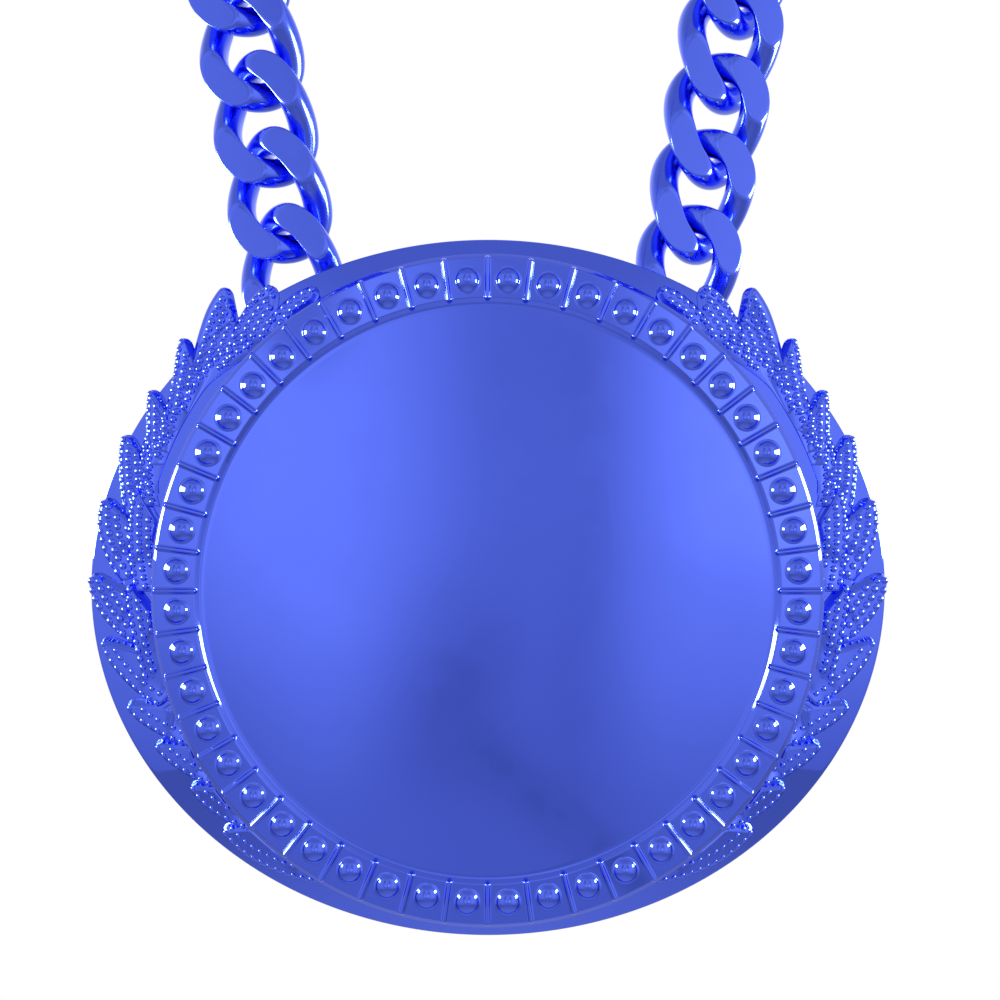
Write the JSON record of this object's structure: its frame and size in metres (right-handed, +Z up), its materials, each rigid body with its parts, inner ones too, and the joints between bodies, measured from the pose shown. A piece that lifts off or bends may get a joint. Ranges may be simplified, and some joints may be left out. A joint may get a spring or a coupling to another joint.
{
  "type": "medal on chain",
  "caption": "Oval medal with a studded bezel round a plain centre and laurel sprays at its sides, hung in front of a closed loop of flat curb chain.",
  "frame": {"origin": "inner top of the chain loop, under the clasp, where the necklace rests on the nape", "axes": "+Z up along the hanging necklace, the loop lies in the plane y = 0, and the medal faces -Y; +X is to the right as seen from the front"},
  "size_m": [0.1228, 0.0139, 0.331],
  "materials": {
    "medal_metal": "polished blue-coated metal, field and margin plain",
    "chain_metal": "polished blue-coated metal, cut faces slightly softer"
  },
  "bodies": {
    "root": {"back_plate": "medal_metal", "bezel_ring": "medal_metal", "field_disc": "medal_metal", "laurel_left": "medal_metal", "laurel_right": "medal_metal", "chain_left": "chain_metal", "chain_right": "chain_metal", "clasp": "chain_metal"}
  },
  "joints": []
}
